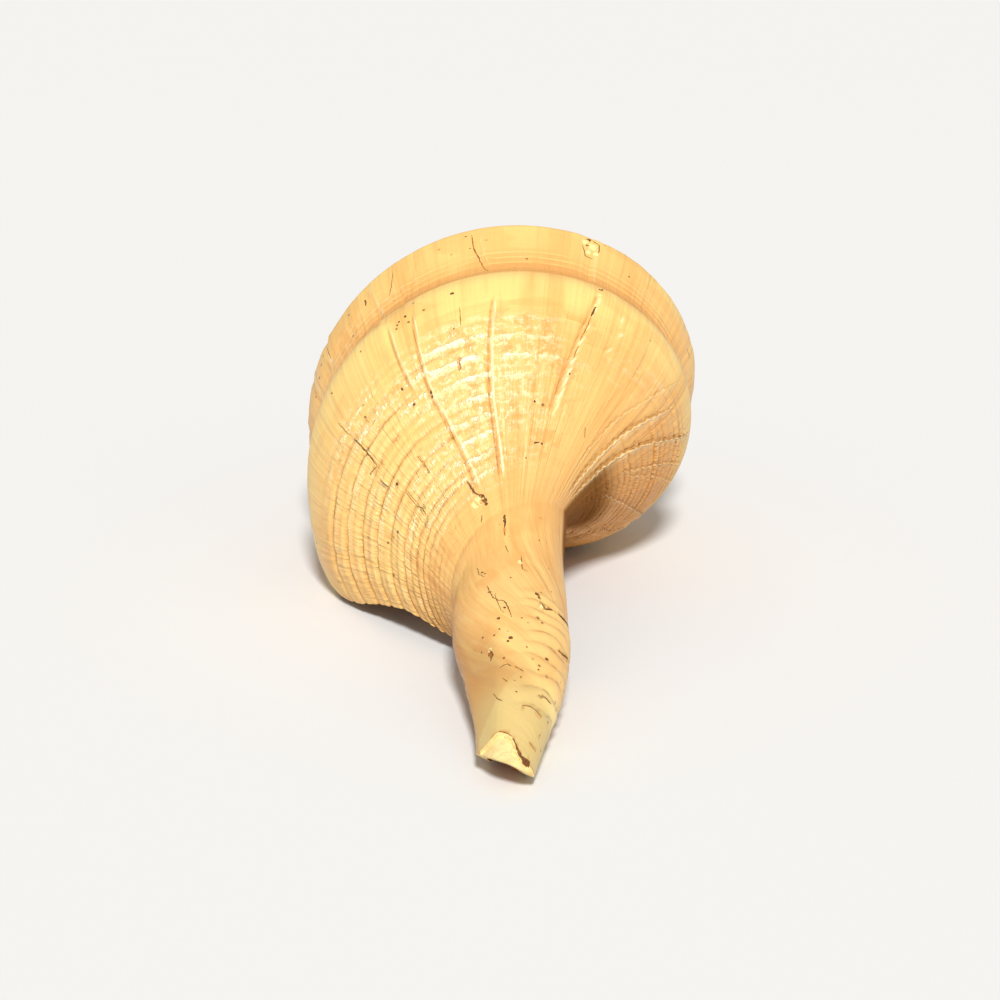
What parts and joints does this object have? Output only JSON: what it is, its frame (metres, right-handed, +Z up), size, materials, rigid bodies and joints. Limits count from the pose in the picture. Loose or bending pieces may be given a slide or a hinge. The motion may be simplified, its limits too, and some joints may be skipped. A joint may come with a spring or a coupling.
{
  "type": "australian trumpet seashell",
  "caption": "Large pale orange sea snail shell with a stepped spire, a keeled body whorl, fine spiral cords and a long open canal, lying on its mouth.",
  "frame": {"origin": "centre of the bounding box's base, on the surface the shell lies on", "axes": "+Z up, the open canal points to -Y and the spire to +Y, the mouth faces down"},
  "size_m": [0.1982, 0.5136, 0.1736],
  "materials": {
    "shell": "satin, weathered"
  },
  "bodies": {
    "root": {"shell": "shell"}
  },
  "joints": []
}
